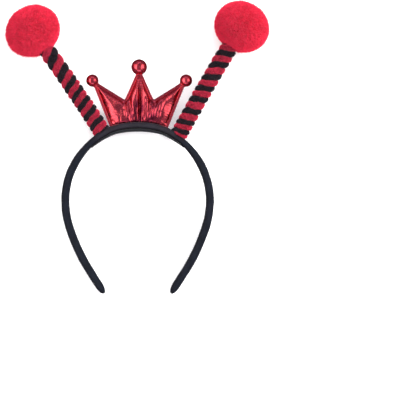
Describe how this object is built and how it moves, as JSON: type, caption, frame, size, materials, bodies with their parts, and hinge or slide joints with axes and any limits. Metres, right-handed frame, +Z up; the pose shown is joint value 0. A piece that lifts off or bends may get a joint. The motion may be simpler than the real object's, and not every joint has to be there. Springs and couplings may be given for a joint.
{
  "type": "bee antenna headband",
  "caption": "Costume headband: a black cloth-covered hoop with a stuffed red foil crown between striped chenille antennas that end in red plush pompoms.",
  "frame": {"origin": "middle of the footprint, on the surface that the headband lies on", "axes": "+X to the right across the head opening, +Y from the open tips to the crown and the pompoms, +Z up, out of the crown's front"},
  "size_m": [0.2242, 0.2474, 0.0458],
  "materials": {
    "band_cloth": "matte black woven cloth with a faint sheen",
    "pad_felt": "matte black felt",
    "crown_foil": "red metallic foil over soft stuffing, with crumples and a sealed rim",
    "chenille_red": "matte chenille pile",
    "chenille_black": "matte chenille pile",
    "pompom_plush": "dense short plush",
    "rod_plastic": "plain dark plastic"
  },
  "bodies": {
    "root": {"band": "band_cloth", "head_pad": "pad_felt", "crown": "crown_foil", "antenna_left_rod": "rod_plastic", "antenna_left_black_strand": "chenille_black", "antenna_left_red_strand": "chenille_red", "pompom_left": "pompom_plush", "antenna_right_rod": "rod_plastic", "antenna_right_black_strand": "chenille_black", "antenna_right_red_strand": "chenille_red", "pompom_right": "pompom_plush"}
  },
  "joints": []
}
